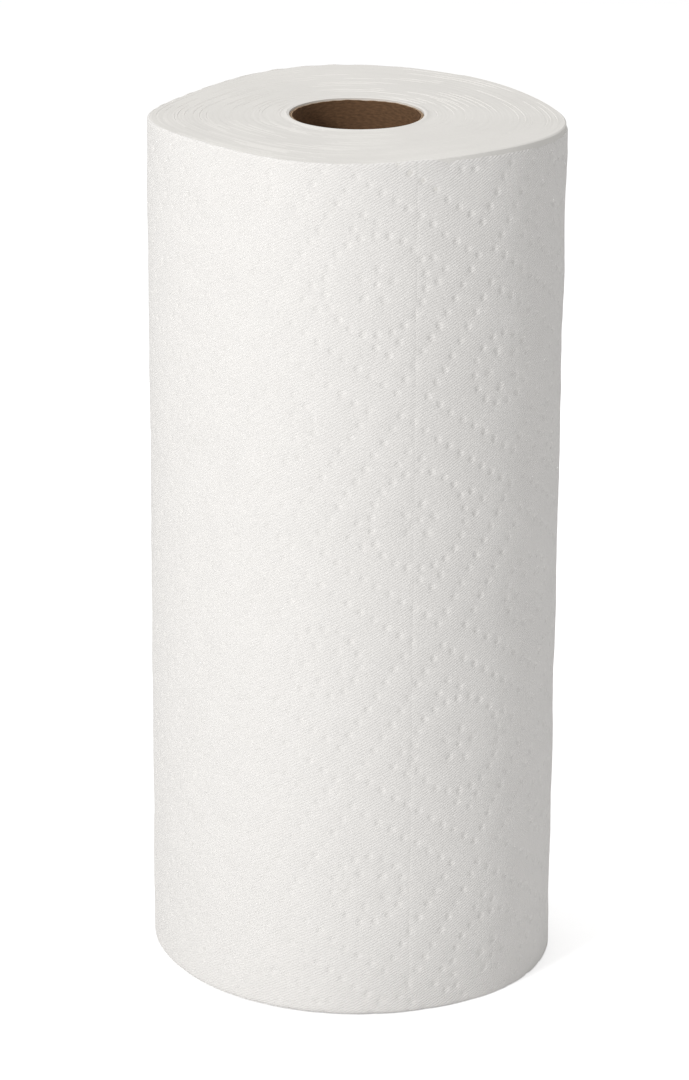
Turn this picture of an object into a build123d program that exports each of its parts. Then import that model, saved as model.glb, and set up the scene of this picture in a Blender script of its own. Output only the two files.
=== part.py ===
from build123d import *

import os
from math import cos, radians, sin

# A roll of paper towel standing on its end, in millimetres, with Z up. The
# cardboard core's axis is the Z axis and the roll stands on Z = 0.

# Driving dimensions.
sheet_width = 279.4  # the paper's width, so the roll's height: 11 in
roll_radius = 64.9  # mean radius of the wound paper
core_radius = 21.2  # outside of the cardboard core
core_wall = 0.85  # two plies of card and their glue
core_glue = 0.1  # glue between the core and the first turn
turn_thickness = 0.7  # one loose turn of embossed paper
rim_press = 1.2  # how far the cut edge that the roll stands on is pressed in

# Squeezing and winding leave the roll out of round. Each lobe is its count
# round the roll, its height, and the direction of its first crest in degrees
# from +X, counted towards +Y.
top_lobes = [(3, 0.8, -32), (4, 0.8, -1), (5, 0.6, -27), (6, 0.2, 0)]
bottom_lobes = [(2, 1.0, -49), (3, 0.5, 25), (4, 0.4, -14)]
top_centre = (0.45, 0.15)  # middle of the wound paper off the core's axis
bottom_centre = (0.1, 0.15)

# The outer turn ends in a loose edge at the back. From there round the right
# side to the front, its cut edge has slipped below the end of the roll.
tail_angle = 59
slip_start_x = 24.5  # where the cut edge steps down at the front
slip_at_start = 1.3
slip_at_side = 2.4
slip_at_back = 0.5

outline_points = 40
overrun = 10  # how far a cutting solid stands past what it cuts


def outline(lobes, centre, inset):
    """Points once round the wound paper, from under its loose edge to over it."""
    points = []
    for index in range(outline_points + 1):
        share = index / outline_points
        angle = radians(tail_angle + 360 * share)
        radius = roll_radius + turn_thickness * (share - 0.5) - inset
        for count, height, crest in lobes:
            radius += height * cos(count * (angle - radians(crest)))
        points.append((centre[0] + radius * cos(angle), centre[1] + radius * sin(angle)))
    return points


def wound_section(height, lobes, centre, inset):
    """One cross-section of the wound paper at the given height."""
    points = outline(lobes, centre, inset)
    with BuildSketch(Plane.XY.offset(height)) as section:
        with BuildLine():
            Spline(*points)
            Line(points[-1], points[0])
        make_face()
    return section.sketch


def wound_sections(inset):
    """The cross-sections of the wound paper, with its lower rim pressed in."""
    return [
        wound_section(0, bottom_lobes, bottom_centre, inset + rim_press),
        wound_section(rim_press, bottom_lobes, bottom_centre, inset),
        wound_section(sheet_width, top_lobes, top_centre, inset),
    ]


# The slipped edge lies in a plane that falls towards the right and the front.
slip_side_x = roll_radius - turn_thickness
slip_fall_right = (slip_at_side - slip_at_start) / (slip_side_x - slip_start_x)
slip_fall_front = (slip_at_start - slip_at_back) / (2 * roll_radius)
slip_plane = Plane(
    origin=(slip_start_x, -roll_radius, sheet_width - slip_at_start),
    x_dir=(1, 0, -slip_fall_right),
    z_dir=(slip_fall_right, -slip_fall_front, 1),
)

with BuildPart() as paper_roll:
    # Every turn of the sheet, with the outer one.
    loft(sections=wound_sections(inset=0), ruled=True)
    # The outer turn slips down on the right, and the turns under it don't.
    with BuildSketch(slip_plane):
        Rectangle(2 * roll_radius, 4 * roll_radius, align=(Align.MIN, Align.CENTER))
    extrude(amount=overrun, mode=Mode.SUBTRACT)
    loft(sections=wound_sections(inset=turn_thickness), ruled=True)
    with BuildSketch():
        Circle(core_radius + core_glue)
    extrude(amount=sheet_width, mode=Mode.SUBTRACT)
paper_roll.part.label = "paper_roll"

with BuildPart() as core_tube:
    with BuildSketch():
        Circle(core_radius)
        Circle(core_radius - core_wall, mode=Mode.SUBTRACT)
    extrude(amount=sheet_width)
core_tube.part.label = "core_tube"

os.makedirs("parts", exist_ok=True)
export_step(paper_roll.part, "parts/paper_roll.step")
export_step(core_tube.part, "parts/core_tube.step")
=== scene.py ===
"""A roll of embossed paper towel on its card core, with a plain studio stage."""

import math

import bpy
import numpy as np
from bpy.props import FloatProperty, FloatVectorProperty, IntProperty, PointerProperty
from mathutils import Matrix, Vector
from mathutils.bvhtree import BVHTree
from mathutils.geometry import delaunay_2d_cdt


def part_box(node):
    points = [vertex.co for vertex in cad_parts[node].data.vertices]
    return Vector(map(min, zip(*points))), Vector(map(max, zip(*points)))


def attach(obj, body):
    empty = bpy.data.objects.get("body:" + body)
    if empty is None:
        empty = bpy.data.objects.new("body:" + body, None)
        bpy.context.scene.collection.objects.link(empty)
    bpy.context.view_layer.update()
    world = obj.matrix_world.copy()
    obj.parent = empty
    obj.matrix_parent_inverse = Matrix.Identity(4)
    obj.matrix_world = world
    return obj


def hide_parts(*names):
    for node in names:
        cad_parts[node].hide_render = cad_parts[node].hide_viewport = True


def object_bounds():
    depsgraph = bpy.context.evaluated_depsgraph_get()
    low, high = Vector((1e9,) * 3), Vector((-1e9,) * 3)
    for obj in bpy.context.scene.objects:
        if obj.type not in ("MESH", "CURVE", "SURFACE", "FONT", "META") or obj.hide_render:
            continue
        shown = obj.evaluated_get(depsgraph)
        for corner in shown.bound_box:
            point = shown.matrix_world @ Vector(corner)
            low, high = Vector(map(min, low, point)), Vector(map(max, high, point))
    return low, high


bl_info = {
    "name": "Paper Towel Roll",
    "version": (1, 0, 0),
    "blender": (4, 5, 0),
    "location": "View3D > Sidebar > Towel Roll",
    "description": "Builds a roll of embossed paper towel on its card core",
    "category": "Add Mesh",
}

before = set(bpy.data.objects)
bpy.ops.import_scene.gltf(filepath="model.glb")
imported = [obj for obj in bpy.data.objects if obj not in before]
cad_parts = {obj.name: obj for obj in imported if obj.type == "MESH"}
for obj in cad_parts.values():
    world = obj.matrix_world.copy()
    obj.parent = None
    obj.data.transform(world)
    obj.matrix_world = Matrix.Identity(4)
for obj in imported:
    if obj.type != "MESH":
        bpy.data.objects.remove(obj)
cad_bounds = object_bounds()

MM = 0.001
TURN = 2 * math.pi
# One unit of a sheet's flat map.
MAP_UNIT = 100 * MM
BODY = "root"
PAPER_NODE = "paper_roll"
CORE_NODE = "core_tube"
SEED = 7
# Points whose distances to the dents are worked out together.
CHUNK = 2000

# Waves of the roll's cut end: count round the roll, height, direction of a crest.
END_WAVES = (
    (1, 0.13 * MM, math.radians(-109)),
    (2, 0.56 * MM, math.radians(87)),
    (3, 0.68 * MM, math.radians(-33)),
    (4, 0.24 * MM, math.radians(34)),
)


# ---------------------------------------------------------------- the outline

class Outline:
    """The wound paper's outline, measured on the frame by rays towards its axis."""

    harmonics = 10
    samples = 720
    reach = 0.2
    from_end = 10 * MM
    edge_depth = 0.4

    def __init__(self, node):
        low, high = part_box(PAPER_NODE)
        self.base, self.top = low.z, high.z
        self.heights = (self.base + self.from_end, self.top - self.from_end)
        self.tree = BVHTree.FromPolygons(
            [v.co for v in node.data.vertices], [p.vertices[:] for p in node.data.polygons]
        )
        angles = np.arange(self.samples) * TURN / self.samples
        radii = [np.array([self.ray(a, z) for a in angles]) for z in self.heights]
        jump = np.roll(radii[0], -1) - radii[0]
        at = int(np.argmin(jump))
        self.tail = angles[at] + 0.5 * TURN / self.samples
        self.step = -jump[at]
        self.waves = [np.fft.rfft(r - self.step * self.share(angles)) for r in radii]
        self.mean = float(np.mean(radii))

    def ray(self, angle, height):
        out = Vector((math.cos(angle), math.sin(angle), 0))
        hit = self.tree.ray_cast(out * self.reach + Vector((0, 0, height)), -out)
        if hit[0] is None:
            raise RuntimeError("the frame's paper has no outer face at one angle")
        return self.reach - hit[3]

    def edge(self, angle):
        """Height of the outer turn's cut edge at one angle."""
        radius = float(self.radius(np.array([angle]), self.top)[0]) - self.edge_depth * self.step
        start = Vector((radius * math.cos(angle), radius * math.sin(angle), self.top + self.reach))
        hit = self.tree.ray_cast(start, Vector((0, 0, -1)))
        return hit[0].z if hit[0] is not None else self.top

    def share(self, angles):
        """How much of the last turn has been wound at each angle, from 0 to 1."""
        return np.mod(angles - self.tail, TURN) / TURN

    def wave(self, index, angles):
        """The outline without its spiral, at one of the two measured heights."""
        terms = self.waves[index]
        total = np.full(np.shape(angles), terms[0].real / self.samples)
        for k in range(1, self.harmonics + 1):
            total = total + 2 / self.samples * (
                terms[k].real * np.cos(k * angles) - terms[k].imag * np.sin(k * angles)
            )
        return total

    def radius(self, angles, heights, share=None):
        """Outer radius at the angles and heights."""
        blend = (heights - self.heights[0]) / (self.heights[1] - self.heights[0])
        smooth = self.wave(0, angles) * (1 - blend) + self.wave(1, angles) * blend
        return smooth + self.step * (self.share(angles) if share is None else share)


def end_wave(angles):
    """Height of the cut end's waves at the roll's rim."""
    return sum(h * np.cos(k * (angles - crest)) for k, h, crest in END_WAVES)


def soft_noise(x, y, scale, seed):
    """A smooth random height between about -1 and 1, the same on every run."""
    rng = np.random.default_rng(seed)
    total = np.zeros(np.shape(x))
    for _ in range(8):
        heading, phase = rng.uniform(0, TURN, 2)
        pitch = scale * rng.uniform(0.7, 1.5)
        total += np.sin(TURN * (x * math.cos(heading) + y * math.sin(heading)) / pitch + phase)
    return total / 4


# ----------------------------------------------------------------- the emboss

class Motif:
    """Dents of one repeat of the emboss, as (across, up, half length, half width, turn)."""

    large_gaps = 10
    large_dots = 22
    large_start = 92
    large_petal = 5.2 * MM
    large_petal_start = 83
    small_gaps = 8
    small_dots = 15
    small_start = 89
    small_petal = 6.1 * MM
    small_petal_start = 115
    petals_each = 5
    # Distance from the diamond's middle and swing from its corner, for each dot of a cap.
    cap_dots = ((22.7 * MM, 0), (19.7 * MM, 0.195), (19.7 * MM, -0.195))
    repeats = 8
    place_wobble = 0.1 * MM

    def __init__(self, props):
        self.across = Vector(props.repeat_across)
        self.up = Vector(props.repeat_up)
        self.dot = props.dot_radius
        self.dents = []
        centre = Vector((0, 0))
        self.diamond(centre, props.large_diamond, self.large_gaps)
        self.ring(centre, props.large_ring, self.large_dots, self.large_start)
        self.petals(centre, self.large_petal, self.large_petal_start)
        self.dents.append((0, 0, self.dot * 0.8, self.dot * 0.8, 0))
        for corner in (self.across, -self.across, self.up, -self.up):
            self.cap(centre, corner)
        centre = (self.up - self.across) / 2
        self.diamond(centre, props.small_diamond, self.small_gaps)
        self.ring(centre, props.small_ring, self.small_dots, self.small_start)
        self.petals(centre, self.small_petal, self.small_petal_start)

    def add(self, place):
        """Adds one round dent."""
        self.dents.append((place.x, place.y, self.dot, self.dot, 0))

    def diamond(self, centre, half_diagonal, gaps):
        """Adds four rows of dots along a diamond's sides."""
        headings = (self.across, self.up, -self.across, -self.up)
        corners = [heading.normalized() * half_diagonal for heading in headings]
        for index, corner in enumerate(corners):
            following = corners[(index + 1) % 4]
            for step in range(gaps):
                self.add(centre + corner.lerp(following, step / gaps))

    def ring(self, centre, radius, count, start):
        """Adds a ring of dots."""
        for index in range(count):
            turn = math.radians(start) + TURN * index / count
            self.add(centre + Vector((math.cos(turn), math.sin(turn))) * radius)

    def petals(self, centre, radius, start):
        """Adds a flower of longer dents that point outwards."""
        for index in range(self.petals_each):
            turn = math.radians(start) + TURN * index / self.petals_each
            place = centre + Vector((math.cos(turn), math.sin(turn))) * radius
            self.dents.append((place.x, place.y, self.dot * 1.35, self.dot * 0.95, turn))

    def cap(self, centre, corner):
        """Adds the three dots between the ring and one corner of its diamond."""
        heading = math.atan2(corner.y, corner.x)
        for radius, swing in self.cap_dots:
            turn = heading + swing
            self.add(centre + Vector((math.cos(turn), math.sin(turn))) * radius)

    def over(self, left, right, bottom, top, start):
        """Every dent that reaches into a stretch of the sheet."""
        found = []
        rng = np.random.default_rng(SEED)
        for i in range(-self.repeats, self.repeats + 1):
            for j in range(-self.repeats, self.repeats + 1):
                shift = start + self.across * i + self.up * j
                for x, y, length, width, turn in self.dents:
                    wobble = rng.normal(0, self.place_wobble, 2)
                    depth = rng.uniform(0.75, 1.15)
                    cx, cy = x + shift.x + wobble[0], y + shift.y + wobble[1]
                    if left - length < cx < right + length and bottom - length < cy < top + length:
                        found.append((cx, cy, length, width, turn, depth))
        return np.array(found)


def dent_shape(reach):
    """Depth of a dent from 1 at its flat floor to 0 at its edge."""
    return 0.5 + 0.5 * np.cos(math.pi * np.clip((reach - 0.2) / 0.8, 0, 1))


def dent_depth(points, dents):
    """Depth of the emboss at each point, in dent depths, and how near a dent it is."""
    depth = np.zeros(len(points))
    near = np.full(len(points), 9.0)
    for start in range(0, len(points), CHUNK):
        part = points[start:start + CHUNK]
        dx = part[:, 0, None] - dents[None, :, 0]
        dy = part[:, 1, None] - dents[None, :, 1]
        c, s = np.cos(dents[:, 4]), np.sin(dents[:, 4])
        reach = np.hypot((dx * c + dy * s) / dents[:, 2], (dy * c - dx * s) / dents[:, 3])
        at = reach.argmin(axis=1)
        near[start:start + CHUNK] = reach.min(axis=1)
        depth[start:start + CHUNK] = dent_shape(reach.min(axis=1)) * dents[at, 5]
    return depth, near


# --------------------------------------------------------------- mesh helpers

def make_piece(name, vertices, faces, material, sheet_map=None):
    """A mesh object with smooth faces and, where given, a flat map of the sheet."""
    mesh = bpy.data.meshes.new(name)
    mesh.from_pydata(vertices.tolist(), [], [list(map(int, f)) for f in faces])
    mesh.update()
    if sheet_map is not None:
        layer = mesh.uv_layers.new(name="sheet")
        loops = np.zeros(len(mesh.loops), np.int32)
        mesh.loops.foreach_get("vertex_index", loops)
        layer.data.foreach_set("uv", (sheet_map[loops] / MAP_UNIT).astype(np.float32).ravel())
    mesh.materials.append(material)
    mesh.polygons.foreach_set("use_smooth", [True] * len(mesh.polygons))
    mesh.set_sharp_from_angle(angle=math.radians(50))
    piece = bpy.data.objects.new(name, mesh)
    bpy.context.scene.collection.objects.link(piece)
    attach(piece, BODY)
    return piece


def edge_points(start, end, spacing):
    """Evenly spaced points from start up to but not with end."""
    count = max(1, round((end - start).length / spacing))
    return [start.lerp(end, i / count) for i in range(count)]


# ------------------------------------------------------------------ materials

def new_material(name, color, roughness):
    material = bpy.data.materials.new(name)
    material.use_nodes = True
    shader = material.node_tree.nodes["Principled BSDF"]
    shader.inputs["Base Color"].default_value = (*color, 1)
    shader.inputs["Roughness"].default_value = roughness
    return material, material.node_tree, shader


def node(tree, kind, **values):
    made = tree.nodes.new(kind)
    for key, value in values.items():
        made.inputs[key.replace("_", " ")].default_value = value
    return made


def mottle(tree, shader, vector, scale, low, high):
    """Tints the base colour between two colours with soft noise."""
    noise = node(tree, "ShaderNodeTexNoise", Scale=scale, Detail=4.0)
    ramp = tree.nodes.new("ShaderNodeValToRGB")
    ramp.color_ramp.elements[0].position, ramp.color_ramp.elements[1].position = 0.3, 0.7
    ramp.color_ramp.elements[0].color, ramp.color_ramp.elements[1].color = (*low, 1), (*high, 1)
    tree.links.new(vector, noise.inputs["Vector"])
    tree.links.new(noise.outputs["Fac"], ramp.inputs["Fac"])
    tree.links.new(ramp.outputs["Color"], shader.inputs["Base Color"])


def bump(tree, shader, heights, distance, strength):
    """Adds one bump made of the sum of some height sockets."""
    total = heights[0]
    for height in heights[1:]:
        add = tree.nodes.new("ShaderNodeMath")
        tree.links.new(total, add.inputs[0])
        tree.links.new(height, add.inputs[1])
        total = add.outputs[0]
    made = node(tree, "ShaderNodeBump", Strength=strength, Distance=distance)
    tree.links.new(total, made.inputs["Height"])
    tree.links.new(made.outputs["Normal"], shader.inputs["Normal"])


def towel_material(props):
    """Soft two-ply towel: a fine slanted weave, creping and loose fibre."""
    color = props.sheet_color
    material, tree, shader = new_material("towel_sheet", color, 0.95)
    shader.inputs["Specular IOR Level"].default_value = 0.15
    shader.inputs["Sheen Weight"].default_value = 0.15
    place = tree.nodes.new("ShaderNodeUVMap")
    place.uv_map = "sheet"
    mottle(tree, shader, place.outputs["UV"], 9.0, [c * 0.975 for c in color], color)
    turn = tree.nodes.new("ShaderNodeMapping")
    turn.inputs["Rotation"].default_value = (0, 0, math.radians(62))
    tree.links.new(place.outputs["UV"], turn.inputs["Vector"])
    weave = node(tree, "ShaderNodeTexWave", Scale=38.0, Distortion=2.5, Detail=2.0, Detail_Scale=1.5)
    tree.links.new(turn.outputs["Vector"], weave.inputs["Vector"])
    fibre = node(tree, "ShaderNodeTexNoise", Scale=110.0, Detail=5.0, Roughness=0.7)
    puff = node(tree, "ShaderNodeTexNoise", Scale=28.0, Detail=2.0)
    for texture in (fibre, puff):
        tree.links.new(place.outputs["UV"], texture.inputs["Vector"])
    bump(tree, shader, [weave.outputs["Fac"], fibre.outputs["Fac"], puff.outputs["Fac"]],
         props.weave_depth, 0.7)
    return material


def cut_end_material(props):
    """The sawn end of the wound sheet: dense, matt and slightly warm, its colour darker than the sheet's
    as painted shade on the roll's top.
    """
    color = props.shaded_end_color
    material, tree, shader = new_material("towel_cut_end", color, 0.95)
    shader.inputs["Specular IOR Level"].default_value = 0.1
    place = tree.nodes.new("ShaderNodeTexCoord")
    mottle(tree, shader, place.outputs["Object"], 45.0, [c * 0.965 for c in color], color)
    fibre = node(tree, "ShaderNodeTexNoise", Scale=1400.0, Detail=4.0)
    tree.links.new(place.outputs["Object"], fibre.inputs["Vector"])
    bump(tree, shader, [fibre.outputs["Fac"]], props.weave_depth * 0.5, 0.4)
    return material


def card_material(name, color, dark, specks):
    """Brown card with fibres that run round the tube and fine specks."""
    material, tree, shader = new_material(name, color, 0.85)
    shader.inputs["Specular IOR Level"].default_value = 0.25
    place = tree.nodes.new("ShaderNodeUVMap")
    place.uv_map = "sheet"
    stretch = tree.nodes.new("ShaderNodeMapping")
    stretch.inputs["Rotation"].default_value = (0, 0, math.radians(-35))
    stretch.inputs["Scale"].default_value = (1.0, 3.0, 1.0)
    tree.links.new(place.outputs["UV"], stretch.inputs["Vector"])
    mottle(tree, shader, stretch.outputs["Vector"], specks, dark, color)
    fibre = node(tree, "ShaderNodeTexNoise", Scale=specks * 2, Detail=5.0, Roughness=0.75)
    tree.links.new(stretch.outputs["Vector"], fibre.inputs["Vector"])
    bump(tree, shader, [fibre.outputs["Fac"]], 0.15 * MM, 0.5)
    return material


# ------------------------------------------------------------------- settings

class TowelSheetSettings(bpy.types.PropertyGroup):
    sheet_length: FloatProperty(
        name="Sheet Length", description="Distance between two perforations",
        default=150 * MM, unit="LENGTH")
    perforation: FloatProperty(
        name="First Perforation", description="Arc from the front of the roll to the perforation",
        default=19.2 * MM, unit="LENGTH")
    slit: FloatProperty(
        name="Slit", description="Length of one cut of the perforation", default=2.6 * MM, unit="LENGTH")
    tie: FloatProperty(
        name="Tie", description="Paper left between two cuts", default=1.2 * MM, unit="LENGTH")
    slit_depth: FloatProperty(
        name="Slit Depth", description="How far a cut's lips are pressed in",
        default=0.09 * MM, unit="LENGTH")
    emboss_depth: FloatProperty(
        name="Emboss Depth", description="Depth of a dent", default=0.32 * MM, unit="LENGTH")
    dot_radius: FloatProperty(
        name="Dot Radius", description="Outer radius of a round dent", default=1.6 * MM, unit="LENGTH")
    repeat_across: FloatVectorProperty(
        name="Repeat Across", description="Step to the next diamond to the right",
        size=2, default=(74.5 * MM, 16.3 * MM), unit="LENGTH")
    repeat_up: FloatVectorProperty(
        name="Repeat Up", description="Step to the next diamond above",
        size=2, default=(-14.6 * MM, 75.9 * MM), unit="LENGTH")
    pattern_start: FloatVectorProperty(
        name="Pattern Start", description="Middle of one large diamond, from the front and the base",
        size=2, default=(6.6 * MM, 241.4 * MM), unit="LENGTH")
    large_diamond: FloatProperty(
        name="Large Diamond", description="Half its diagonal", default=34.9 * MM, unit="LENGTH")
    small_diamond: FloatProperty(
        name="Small Diamond", description="Half its diagonal", default=28.6 * MM, unit="LENGTH")
    large_ring: FloatProperty(
        name="Large Ring", description="Radius of the ring in a large diamond",
        default=15.8 * MM, unit="LENGTH")
    small_ring: FloatProperty(
        name="Small Ring", description="Radius of the ring in a small diamond",
        default=11.2 * MM, unit="LENGTH")
    puff: FloatProperty(
        name="Puff", description="Soft waves of the loose outer turn", default=0.16 * MM, unit="LENGTH")
    filler: FloatProperty(
        name="Filler", description="Mesh spacing between the dents", default=1.9 * MM, unit="LENGTH")
    weave_depth: FloatProperty(
        name="Weave Depth", description="Relief of the fine weave", default=0.17 * MM, unit="LENGTH")
    sheet_color: FloatVectorProperty(
        name="Sheet Colour", description="Colour of the towel's face",
        size=3, default=(0.87, 0.85, 0.825), subtype="COLOR")


class WoundTurnsSettings(bpy.types.PropertyGroup):
    turns: IntProperty(name="Turns", description="Turns seen at each cut end", default=84)
    segments: IntProperty(name="Segments", description="Mesh steps round one turn", default=200)
    ridge: FloatProperty(
        name="Ridge", description="Relief of one turn's cut edge", default=0.05 * MM, unit="LENGTH")
    bore_gap: FloatProperty(
        name="Bore Gap", description="Room between the core and the first turn",
        default=0.1 * MM, unit="LENGTH")
    lip: FloatProperty(
        name="Lip", description="How far the first turns stand up round the core",
        default=0.35 * MM, unit="LENGTH")
    # Darker than the sheet colour: painted shade on the roll's cut end.
    shaded_end_color: FloatVectorProperty(
        name="End Colour With Shade", description="Colour of the cut end",
        size=3, default=(0.80, 0.78, 0.745), subtype="COLOR")
    weave_depth: FloatProperty(
        name="Fibre Depth", description="Relief of the cut fibres", default=0.09 * MM, unit="LENGTH")


class CoreSettings(bpy.types.PropertyGroup):
    seam_rise: FloatProperty(
        name="Seam Rise", description="Climb of the inner ply's seam in one turn",
        default=96 * MM, unit="LENGTH")
    seam_width: FloatProperty(
        name="Seam Width", description="Width of the seam's groove", default=0.7 * MM, unit="LENGTH")
    seam_depth: FloatProperty(
        name="Seam Depth", description="Depth of the seam's groove", default=0.22 * MM, unit="LENGTH")
    recess: FloatProperty(
        name="Recess", description="How far the card's ends sit inside the paper's",
        default=0.35 * MM, unit="LENGTH")
    # The card's brown darkened for the bore: painted shade inside the tube over the card's own colour.
    shaded_bore_color: FloatVectorProperty(
        name="Bore Colour With Shade", description="Colour of the core's bore",
        size=3, default=(0.21, 0.115, 0.058), subtype="COLOR")
    rim_color: FloatVectorProperty(
        name="Rim Colour", description="Colour of the card's cut edge",
        size=3, default=(0.46, 0.33, 0.22), subtype="COLOR")


class StageSettings(bpy.types.PropertyGroup):
    lens: FloatProperty(name="Lens", description="Focal length in millimetres", default=166.0)
    camera_place: FloatVectorProperty(
        name="Camera Place", description="Where the camera stands",
        size=3, default=(2.3 * MM, -1527.3 * MM, 644.1 * MM), subtype="TRANSLATION", unit="LENGTH")
    pitch: FloatProperty(
        name="Pitch", description="How far the camera looks down",
        default=math.radians(18.32), subtype="ANGLE")
    yaw: FloatProperty(
        name="Yaw", description="How far the camera looks to the right",
        default=math.radians(-0.19), subtype="ANGLE")
    roll: FloatProperty(
        name="Roll", description="How far the camera leans",
        default=math.radians(0.45), subtype="ANGLE")
    key_power: FloatProperty(name="Key", description="Power of the main lamp in watts", default=18.0)
    fill_power: FloatProperty(name="Fill", description="Power of the front lamp in watts", default=2.5)
    top_power: FloatProperty(name="Top", description="Power of the overhead lamp in watts", default=11.0)
    sky: FloatProperty(name="Sky", description="Strength of the light all round", default=0.42)


# --------------------------------------------------------------------- pieces

class TOWEL_OT_sheets(bpy.types.Operator):
    """Build the outer turn as its embossed sheets, joined at the perforations"""

    bl_idname = "towel.sheets"
    bl_label = "Outer Sheets"

    # Mesh rings of a dent: share of its size, and points round it.
    rings = ((0.24, 6), (0.44, 9), (0.64, 12), (0.83, 14), (1.03, 16))
    edge_spacing = 0.95 * MM
    back_spacing = 6 * MM
    edge_samples = 400
    # How far the bottom rim is drawn in on the left, and how much less on the right.
    press_left = 2.0 * MM
    press_ease = 1.7 * MM
    rim_soft = 0.7 * MM
    rim_draw = 0.3 * MM
    # The paper's soft hollow round each dent.
    hollow = 0.07 * MM
    slit_soft = 0.35 * MM

    def execute(self, context):
        self.props = context.scene.towel_sheets
        self.outline = Outline(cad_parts[PAPER_NODE])
        self.front = TURN * 0.75
        self.right = self.arc(self.outline.tail + TURN)
        self.left = self.arc(self.outline.tail)
        self.height = self.outline.top - self.outline.base
        self.measure_edge()
        self.motif = Motif(self.props)
        material = towel_material(self.props)
        cuts = [self.right, self.props.perforation]
        while cuts[-1] - self.props.sheet_length > self.left:
            cuts.append(cuts[-1] - self.props.sheet_length)
        cuts.append(self.left)
        for index, (right, left) in enumerate(zip(cuts, cuts[1:])):
            piece = self.sheet(f"towel_sheet_{index + 1}", left, right, material)
            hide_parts(PAPER_NODE)
        return {"FINISHED"}

    def arc(self, angle):
        """Arc from the front of the roll to an angle, to the right."""
        return (angle - self.front) * self.outline.mean

    def measure_edge(self):
        """How far the outer turn's cut edge has slipped, along the arc."""
        self.slip_at = np.linspace(self.left, self.right, self.edge_samples)
        angles = self.front + self.slip_at / self.outline.mean
        slip = np.array([self.outline.top - self.outline.edge(a % TURN) for a in angles])
        slip[:3], slip[-3:] = slip[3], slip[-4]
        kernel = np.hanning(9) / np.hanning(9).sum()
        self.slip = np.convolve(np.pad(slip, 4, mode="edge"), kernel, mode="valid")

    def roll_up(self, points, inner=False):
        """Places points of the flat sheet on the roll."""
        s, v = points[:, 0], points[:, 1]
        angles = self.front + s / self.outline.mean
        share = (s - self.left) / (self.right - self.left)
        up = v / self.height
        slip = np.interp(s, self.slip_at, self.slip)
        ragged = 0.12 * MM * soft_noise(s, s * 0, 7 * MM, 3) * up ** 30
        z = self.outline.base + v - slip * up + end_wave(angles) * up ** 6 + ragged
        r = self.outline.radius(angles, self.outline.base + v, share)
        right_side = np.clip(np.cos(angles) * 1.6, 0, 1)
        press = self.press_left - self.press_ease * right_side
        low = np.clip(1 - (z - self.outline.base) / (press * 1.3), 0, 1)
        high = np.clip(1 - (self.outline.top - v) / self.rim_soft, 0, 1)
        r = r - press * (1 - np.sqrt(1 - low ** 2 * 0.999)) - self.rim_draw * high ** 2
        if inner:
            return angles, z, r - self.outline.step
        depth, near = dent_depth(points, self.dents)
        r = r - self.props.emboss_depth * depth
        r = r - self.hollow * np.exp(-((near - 1).clip(0) / 1.3) ** 2)
        r = r + self.props.puff * soft_noise(s, v, 34 * MM, 11)
        r = r + 0.25 * self.props.puff * soft_noise(s, v, 9 * MM, 12)
        r = r - self.perforated(s, v)
        return angles, z, r

    def perforated(self, s, v):
        """How far the perforations' lips are pressed in."""
        pitch = self.props.slit + self.props.tie
        phase = np.mod(v, pitch) / pitch
        cut = np.clip((self.props.slit / pitch - phase) * 8, 0, 1)
        depth = np.zeros(len(s))
        line = self.props.perforation
        while line > self.left:
            depth += np.exp(-((s - line) / self.slit_soft) ** 2)
            line -= self.props.sheet_length
        return self.props.slit_depth * depth * (0.3 + 0.7 * cut)

    def points(self, left, right):
        """Points of the flat sheet: its edges first, then the dents, then the rest."""
        corners = [Vector(c) for c in ((left, 0), (right, 0), (right, self.height), (left, self.height))]
        edges = []
        for index in range(4):
            edges += edge_points(corners[index], corners[(index + 1) % 4], self.edge_spacing)
        found = [np.array(edges)]
        rows = [0.7 * MM, 1.5 * MM, self.height - 0.7 * MM, self.height - 1.5 * MM]
        along = np.arange(left + 0.9 * MM, right - 0.5 * MM, 1.1 * MM)
        up = np.arange(2.4 * MM, self.height - 2 * MM, 0.95 * MM)
        for row in rows:
            found.append(np.column_stack([along, np.full(len(along), row)]))
        for column in (left + 0.7 * MM, right - 0.7 * MM):
            found.append(np.column_stack([np.full(len(up), column), up]))
        near_edge = np.vstack(found)
        reach = self.dents[:, 2:4]
        dents = [self.dents[:, :2]]
        c, s = np.cos(self.dents[:, 4]), np.sin(self.dents[:, 4])
        for size, count in self.rings:
            for turn in np.arange(count) * TURN / count:
                x, y = reach[:, 0] * size * math.cos(turn), reach[:, 1] * size * math.sin(turn)
                dents.append(self.dents[:, :2] + np.column_stack([x * c - y * s, x * s + y * c]))
        dents = np.vstack(dents)
        margin = 1.9 * MM
        keep = (
            (dents[:, 0] > left + margin * 0.6) & (dents[:, 0] < right - margin * 0.6)
            & (dents[:, 1] > margin) & (dents[:, 1] < self.height - margin)
        )
        gap = self.props.filler
        across = np.arange(left + gap, right - gap * 0.6, gap)
        upward = np.arange(2.6 * MM, self.height - 2.2 * MM, gap * 0.87)
        grid = np.array([(x + gap / 2 * (row % 2), y) for row, y in enumerate(upward) for x in across])
        grid = grid[grid[:, 0] < right - gap * 0.5]
        grid = grid[dent_depth(grid, self.dents)[1] > 1.28]
        return len(edges), np.vstack([near_edge, dents[keep], grid])

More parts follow.
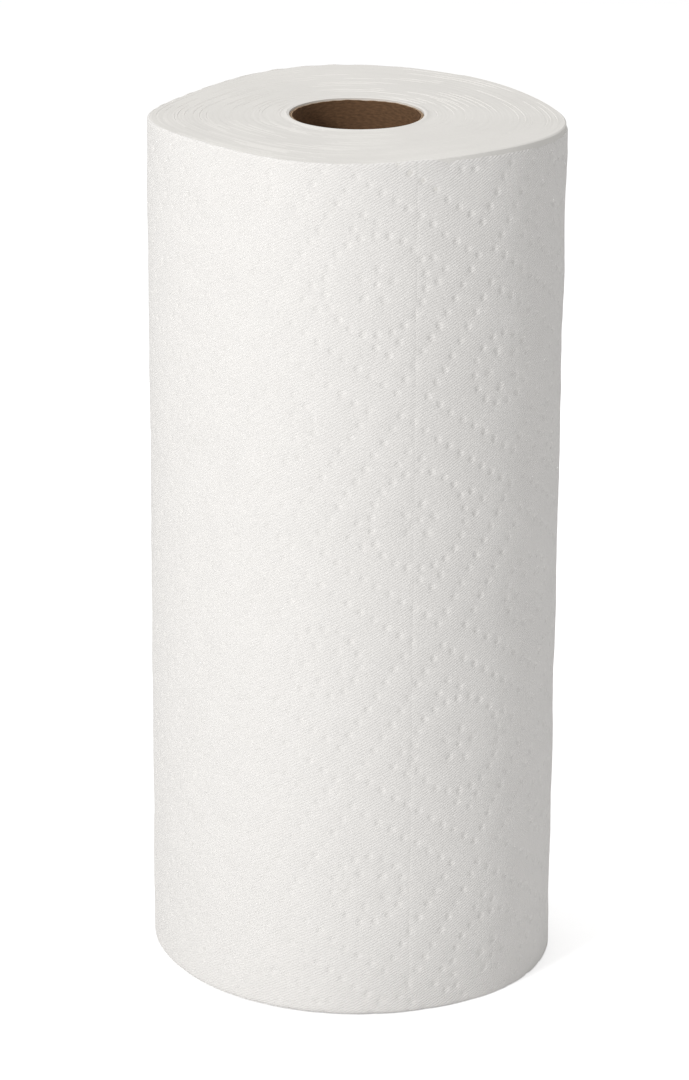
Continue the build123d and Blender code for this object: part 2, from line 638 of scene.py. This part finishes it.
    def sheet(self, name, left, right, material):
        """One sheet as a closed shell: embossed outside, plain inside, joined by its cut edges."""
        start = Vector(self.props.pattern_start)
        self.dents = self.motif.over(left, right, 0, self.height, start)
        border, flat = self.points(left, right)
        flat, faces = self.triangles(flat)
        outer = self.place(*self.roll_up(flat))
        rim = flat[:border]
        gap = self.back_spacing
        across = np.arange(left + gap, right - gap * 0.6, gap)
        upward = np.arange(gap, self.height - gap * 0.6, gap)
        grid = np.array([(x, y) for y in upward for x in across])
        back_flat, back_faces = self.triangles(np.vstack([rim, grid]))
        inner = self.place(*self.roll_up(back_flat, inner=True))
        count = len(outer)
        walls = [
            (i, count + i, count + (i + 1) % border, (i + 1) % border) for i in range(border)
        ]
        solid = list(faces) + [tuple(count + i for i in reversed(f)) for f in back_faces] + walls
        return make_piece(
            name, np.vstack([outer, inner]), solid, material, np.vstack([flat, back_flat])
        )

    def triangles(self, flat):
        """Triangles between points of the flat sheet."""
        found = delaunay_2d_cdt([Vector(point) for point in flat / MM], [], [], 0, 1e-7)
        return np.array([tuple(point) for point in found[0]]) * MM, found[2]

    def place(self, angles, z, r):
        return np.column_stack([r * np.cos(angles), r * np.sin(angles), z])


class TOWEL_OT_wound_turns(bpy.types.Operator):
    """Build the turns under the outer one, with the spiral of their cut edges"""

    bl_idname = "towel.wound_turns"
    bl_label = "Wound Turns"

    top_flare = 0.35 * MM
    base_flare = -1.6 * MM
    base_lift = 0.15 * MM

    def execute(self, context):
        self.props = context.scene.towel_turns
        self.outline = Outline(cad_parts[PAPER_NODE])
        self.count = self.props.segments
        self.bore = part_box(CORE_NODE)[1].x + self.props.bore_gap
        self.steps = self.props.turns * self.count
        top, walls_top = self.end(+1)
        bottom, walls_bottom = self.end(-1)
        shift = len(top[0])
        vertices = np.vstack([top[0], bottom[0]])
        faces = top[1] + [tuple(shift + i for i in reversed(f)) for f in bottom[1]]
        for upper, lower, order in zip(walls_top, walls_bottom, (1, -1)):
            size = len(upper)
            for i in range(size):
                after = (i + 1) % size
                face = (upper[i], upper[after], shift + lower[after], shift + lower[i])
                faces.append(face[::order])
        piece = make_piece("wound_turns", vertices, faces, cut_end_material(self.props))
        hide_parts(PAPER_NODE)
        return {"FINISHED"}

    def end(self, side):
        """One cut end: its inner circle, the spiral of edges and its outer line."""
        turn = np.arange(self.count) * TURN / self.count
        steps = np.arange(self.steps + 1)
        angle = steps * TURN / self.count
        ridge = steps / self.steps
        valley = np.clip(ridge + 0.5 / self.props.turns, 0, 1)
        share = [np.zeros(self.count), ridge, valley[:-self.count], np.ones(self.count)]
        angles = [turn, angle, angle[:-self.count], turn]
        lift = [0.0, 1.0, -1.0, 0.0]
        rows = [self.surface(side, a, t, up) for a, t, up in zip(angles, share, lift)]
        first = np.cumsum([0] + [len(r) for r in rows])
        faces = self.stitch(first)
        return (np.vstack(rows), faces), (
            list(range(first[0], first[1])), list(range(first[3], first[4]))
        )

    def stitch(self, first):
        """Faces between the inner circle, the spiral ridges and valleys and the outer line."""
        ring, ridge, valley, rim = first[:4]
        size, length = self.count, self.steps
        last = length - size
        faces = []
        for n in range(last):
            faces.append((ridge + n, valley + n, valley + n + 1, ridge + n + 1))
            faces.append((valley + n, ridge + n + size, ridge + n + size + 1, valley + n + 1))
        for n in range(size):
            after = (n + 1) % size
            faces.append((ring + n, ridge + n, ridge + n + 1, ring + after))
            faces.append((ridge + last + n, rim + n, rim + after, ridge + last + n + 1))
        faces.append((ring, ridge + size, valley, ridge))
        faces.append((rim, ridge + last, valley + last, ridge + length))
        return faces

    def surface(self, side, angles, share, lift):
        """Points of a cut end, from the bore at share 0 to the rim at share 1."""
        level = self.outline.top if side > 0 else self.outline.base
        flare = self.top_flare if side > 0 else self.base_flare
        rim = self.outline.radius(angles % TURN, level) - self.outline.step * 1.15 + flare
        r = self.bore + (rim - self.bore) * share
        turn_number = angles / TURN
        uneven = 0.05 * MM * soft_noise(turn_number * 1.7, angles, 1.3, 21)
        heights = lift * self.props.ridge * np.clip(share * 40, 0, 1) + uneven
        if side > 0:
            heights = heights + end_wave(angles) * share ** 2
            heights = heights + self.props.lip * np.exp(-(((r - self.bore) / MM - 0.8) / 0.8) ** 2)
            heights = heights - 0.35 * MM * np.clip((share - 0.985) / 0.015, 0, 1) ** 2
        else:
            heights = np.abs(self.base_lift - np.abs(heights))
        return np.column_stack([r * np.cos(angles), r * np.sin(angles), level + heights])


class TOWEL_OT_core(bpy.types.Operator):
    """Build the card core with its spiral seam and two-ply rim"""

    bl_idname = "towel.core"
    bl_label = "Card Core"

    segments = 360
    ply_gap = 0.07 * MM

    def execute(self, context):
        props = context.scene.towel_core
        low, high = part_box(CORE_NODE)
        outer, base, top = high.x, low.z, high.z - props.recess
        wall = outer - self.inner_radius(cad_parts[CORE_NODE])
        inner = outer - wall
        turn = np.arange(self.segments) * TURN / self.segments
        levels = np.linspace(base + props.recess, top, 300)
        ragged = 0.1 * MM * soft_noise(turn * 40 * MM, turn * 0, 9 * MM, 5)
        rows = []
        for z in levels:
            seam = np.mod(turn - TURN * z / props.seam_rise + math.pi, TURN) - math.pi
            groove = np.exp(-((seam * inner) / (props.seam_width / 2)) ** 2)
            depth = props.seam_depth * groove
            end = np.clip((z - (top - 1.5 * MM)) / (1.5 * MM), 0, 1)
            rows.append((inner + depth, np.full(self.segments, z) + ragged * end))
        middle = inner + wall / 2
        for r, drop in ((inner + 0.12 * MM, -0.12), (middle - self.ply_gap, -0.04),
                        (middle, 0.2), (middle + self.ply_gap, -0.04), (outer - 0.12 * MM, -0.1)):
            rows.append((np.full(self.segments, r), top - drop * MM + ragged - 0.15 * MM))
        rows.append((np.full(self.segments, outer), np.full(self.segments, top - 0.3 * MM)))
        rows.append((np.full(self.segments, outer), np.full(self.segments, base + props.recess)))
        vertices = np.vstack([
            np.column_stack([r * np.cos(turn), r * np.sin(turn), z]) for r, z in rows
        ])
        faces, size = [], self.segments
        for k in range(len(rows)):
            this, following = k * size, (k + 1) % len(rows) * size
            for i in range(size):
                after = (i + 1) % size
                faces.append((this + i, following + i, following + after, this + after))
        flat = np.vstack([np.column_stack([turn * inner, z]) for _, z in rows])
        # The bore's card is darker than the rim's: painted shade inside the tube.
        bore = card_material("core_bore_shaded_card", props.shaded_bore_color,
                             [c * 0.55 for c in props.shaded_bore_color], 60.0)
        rim = card_material("core_rim_card", props.rim_color,
                            [c * 0.7 for c in props.rim_color], 90.0)
        piece = make_piece("core_card", vertices, faces, bore, flat)
        piece.data.materials.append(rim)
        on_rim = [int(len(levels) - 1 <= k < len(rows) - 2) for k in range(len(rows))]
        slots = np.repeat(on_rim, size)
        piece.data.polygons.foreach_set("material_index", slots.astype(np.int32))
        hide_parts(CORE_NODE)
        return {"FINISHED"}

    def inner_radius(self, tube):
        return min(math.hypot(v.co.x, v.co.y) for v in tube.data.vertices)


# ---------------------------------------------------------------------- stage

def area_lamp(name, place, target, size, power):
    lamp = bpy.data.lights.new(name, "AREA")
    lamp.shape, lamp.size, lamp.energy = "DISK", size, power
    made = bpy.data.objects.new(name, lamp)
    made.location = place
    made.rotation_euler = (Vector(target) - Vector(place)).to_track_quat("-Z", "Y").to_euler()
    bpy.context.scene.collection.objects.link(made)


class TOWEL_OT_stage(bpy.types.Operator):
    """Build the floor, the lamps, the plain surroundings and the camera"""

    bl_idname = "towel.stage"
    bl_label = "Stage"

    def execute(self, context):
        self.props = context.scene.towel_stage
        self.floor()
        self.surroundings(context.scene)
        self.lamps()
        self.camera(context.scene)
        context.scene.view_settings.view_transform = "Standard"
        return {"FINISHED"}

    def floor(self):
        half, drop = 6.0, 0.1 * MM
        corners = [(x * half, y * half, -drop) for x, y in ((-1, -1), (1, -1), (1, 1), (-1, 1))]
        mesh = bpy.data.meshes.new("studio_floor")
        mesh.from_pydata(corners, [], [(0, 1, 2, 3)])
        floor = bpy.data.objects.new("studio_floor", mesh)
        bpy.context.scene.collection.objects.link(floor)
        material, tree, shader = new_material("studio_floor", (0.9, 0.9, 0.9), 1.0)
        shader.inputs["Specular IOR Level"].default_value = 0.0
        glow = tree.nodes.new("ShaderNodeEmission")
        glow.inputs["Strength"].default_value = 0.45
        rays = tree.nodes.new("ShaderNodeLightPath")
        mix = tree.nodes.new("ShaderNodeAddShader")
        dark = tree.nodes.new("ShaderNodeMixShader")
        blank = tree.nodes.new("ShaderNodeEmission")
        blank.inputs["Strength"].default_value = 0.0
        tree.links.new(rays.outputs["Is Camera Ray"], dark.inputs["Fac"])
        tree.links.new(blank.outputs[0], dark.inputs[1])
        tree.links.new(glow.outputs[0], dark.inputs[2])
        tree.links.new(shader.outputs[0], mix.inputs[0])
        tree.links.new(dark.outputs[0], mix.inputs[1])
        tree.links.new(mix.outputs[0], tree.nodes["Material Output"].inputs["Surface"])
        floor.data.materials.append(material)

    def surroundings(self, scene):
        world = bpy.data.worlds.new("studio")
        scene.world = world
        world.use_nodes = True
        tree = world.node_tree
        sky = tree.nodes["Background"]
        sky.inputs["Color"].default_value = (1, 1, 1, 1)
        sky.inputs["Strength"].default_value = self.props.sky
        white = tree.nodes.new("ShaderNodeBackground")
        white.inputs["Color"].default_value = (1, 1, 1, 1)
        white.inputs["Strength"].default_value = 1.0
        rays = tree.nodes.new("ShaderNodeLightPath")
        mix = tree.nodes.new("ShaderNodeMixShader")
        either = tree.nodes.new("ShaderNodeMath")
        either.operation = "MAXIMUM"
        tree.links.new(rays.outputs["Is Camera Ray"], either.inputs[0])
        tree.links.new(rays.outputs["Is Glossy Ray"], either.inputs[1])
        tree.links.new(either.outputs[0], mix.inputs["Fac"])
        tree.links.new(sky.outputs[0], mix.inputs[1])
        tree.links.new(white.outputs[0], mix.inputs[2])
        tree.links.new(mix.outputs[0], tree.nodes["World Output"].inputs["Surface"])

    def lamps(self):
        middle = (0, 0, (cad_bounds[0].z + cad_bounds[1].z) / 2)
        area_lamp("key_lamp", (-1.15, -1.4, 1.0), middle, 0.45, self.props.key_power)
        area_lamp("fill_lamp", (0.5, -2.2, 0.5), middle, 1.6, self.props.fill_power)
        area_lamp("top_lamp", (-0.1, 0.3, 1.9), middle, 1.2, self.props.top_power)

    def camera(self, scene):
        lens = bpy.data.cameras.new("camera")
        lens.lens = self.props.lens
        lens.sensor_width = 36
        camera = bpy.data.objects.new("camera", lens)
        turn = (
            Matrix.Rotation(-self.props.yaw, 4, "Z")
            @ Matrix.Rotation(math.radians(90) - self.props.pitch, 4, "X")
            @ Matrix.Rotation(self.props.roll, 4, "Z")
        )
        camera.matrix_world = Matrix.Translation(self.props.camera_place) @ turn
        scene.collection.objects.link(camera)
        scene.camera = camera


# ---------------------------------------------------------------------- panel

SETTINGS = {
    "towel_sheets": TowelSheetSettings,
    "towel_turns": WoundTurnsSettings,
    "towel_core": CoreSettings,
    "towel_stage": StageSettings,
}
OPERATORS = (TOWEL_OT_sheets, TOWEL_OT_wound_turns, TOWEL_OT_core, TOWEL_OT_stage)


class TOWEL_PT_panel(bpy.types.Panel):
    """Lists the roll's settings and the operators that build it"""

    bl_label = "Paper Towel Roll"
    bl_idname = "TOWEL_PT_panel"
    bl_space_type = "VIEW_3D"
    bl_region_type = "UI"
    bl_category = "Towel Roll"

    def draw(self, context):
        for (name, kind), operator in zip(SETTINGS.items(), OPERATORS):
            box = self.layout.box()
            for key in kind.__annotations__:
                box.prop(getattr(context.scene, name), key)
            box.operator(operator.bl_idname)


def register():
    for kind in (*SETTINGS.values(), *OPERATORS, TOWEL_PT_panel):
        bpy.utils.register_class(kind)
    for name, kind in SETTINGS.items():
        setattr(bpy.types.Scene, name, PointerProperty(type=kind))


def unregister():
    for name in SETTINGS:
        delattr(bpy.types.Scene, name)
    for kind in reversed((*SETTINGS.values(), *OPERATORS, TOWEL_PT_panel)):
        bpy.utils.unregister_class(kind)


def main():
    register()
    bpy.ops.towel.sheets()
    bpy.ops.towel.wound_turns()
    bpy.ops.towel.core()
    bpy.ops.towel.stage()


if __name__ == "__main__":
    main()
